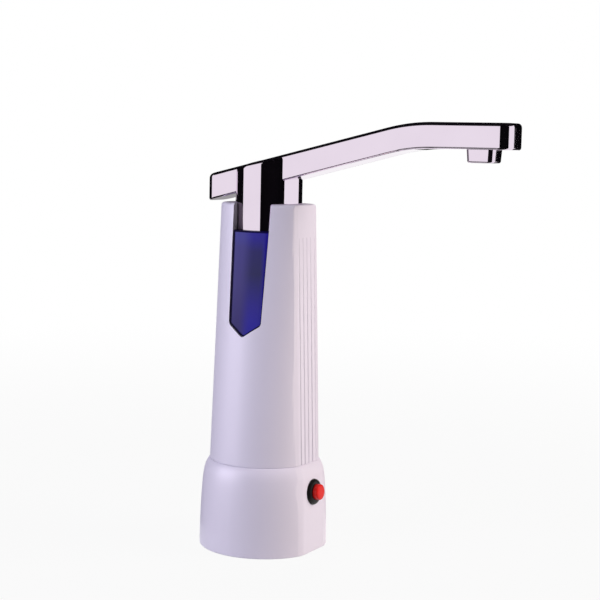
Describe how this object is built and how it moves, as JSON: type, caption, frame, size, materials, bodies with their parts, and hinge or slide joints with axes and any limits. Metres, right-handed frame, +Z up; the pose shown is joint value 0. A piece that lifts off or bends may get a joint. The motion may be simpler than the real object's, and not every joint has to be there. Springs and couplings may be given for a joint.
{
  "type": "electric water jug pump",
  "caption": "Electric pump that sits on a water jug's neck: tapered white body, side windows, front push button and a chrome swivel spout with a square nozzle.",
  "frame": {"origin": "on the jug neck's axis, in the plane of the collar's bottom rim", "axes": "+Z up along the neck's axis, +X to the front (button and spout), +Y to the left side window"},
  "size_m": [0.1766, 0.07, 0.232],
  "materials": {
    "white_plastic": "satin moulded ABS",
    "blue_window": "dark blue translucent acrylic",
    "chrome": "bright chrome plate",
    "red_plastic": "gloss moulded cap",
    "black_plastic": "moulded black plastic",
    "black_rubber": "moulded rubber",
    "inner_plastic": "plain moulded plastic",
    "clear_tube": "translucent silicone",
    "steel": "zinc-plated steel",
    "brass": "plain brass",
    "iron": "bare iron and ferrite",
    "cell_wrap": "shrink sleeve",
    "board": "solder-masked board",
    "lamp": "clear lamp body",
    "red_lead": "insulated lead",
    "black_lead": "insulated lead"
  },
  "bodies": {
    "pump_body": {"base_collar": "white_plastic", "upper_casing": "white_plastic", "window_left": "blue_window", "window_right": "blue_window", "neck_gasket": "black_rubber", "intake_fitting": "inner_plastic", "intake_nut": "inner_plastic", "pump_cover": "inner_plastic", "pump_seal_ring": "black_rubber", "pump_housing": "inner_plastic", "shaft_seal": "black_rubber", "pump_screws": "steel", "motor_can": "steel", "motor_magnets": "iron", "motor_end_bell": "inner_plastic", "motor_bushes": "brass", "motor_terminals": "brass", "inner_chassis": "inner_plastic", "casing_screws": "steel", "battery_cell": "cell_wrap", "battery_tabs": "steel", "control_board": "board", "board_screws": "steel", "window_leds": "lamp", "charge_socket": "black_plastic", "delivery_tube": "clear_tube", "swivel_seat": "inner_plastic", "seat_screws": "steel", "inlet_cap": "inner_plastic", "button_spring": "steel", "switch_housing": "black_plastic", "switch_washer": "steel", "switch_nut": "steel", "switch_terminals": "brass", "motor_wires": "red_lead", "switch_wires": "black_lead", "battery_wires": "red_lead"},
    "spout": {"spout_shell": "chrome", "spout_underplate": "chrome", "spout_tube": "clear_tube", "nozzle_elbow": "inner_plastic", "spout_nozzle": "chrome", "nozzle_screen": "steel", "swivel_stem": "inner_plastic", "stem_o_rings": "black_rubber", "stem_clip": "steel"},
    "button": {"button_cap": "red_plastic"},
    "rotor": {"motor_shaft": "steel", "motor_armature": "iron", "impeller": "black_plastic"}
  },
  "joints": [
    {"name": "spout_swivel", "type": "hinge", "parent": "pump_body", "child": "spout", "pos_m": [0, 0, 0.158], "axis": [0, 0, 1], "continuous": true},
    {"name": "button_press", "type": "slide", "parent": "pump_body", "child": "button", "axis": [-0.9974, 0, -0.0719], "range_m": [0, 0.0025], "stiffness_N_per_m": 400, "springref_m": -0.002, "deforming": ["button_spring"]},
    {"name": "rotor_spin", "type": "hinge", "parent": "pump_body", "child": "rotor", "pos_m": [-0.0115, 0, 0.06], "axis": [0, 0, 1], "continuous": true}
  ]
}
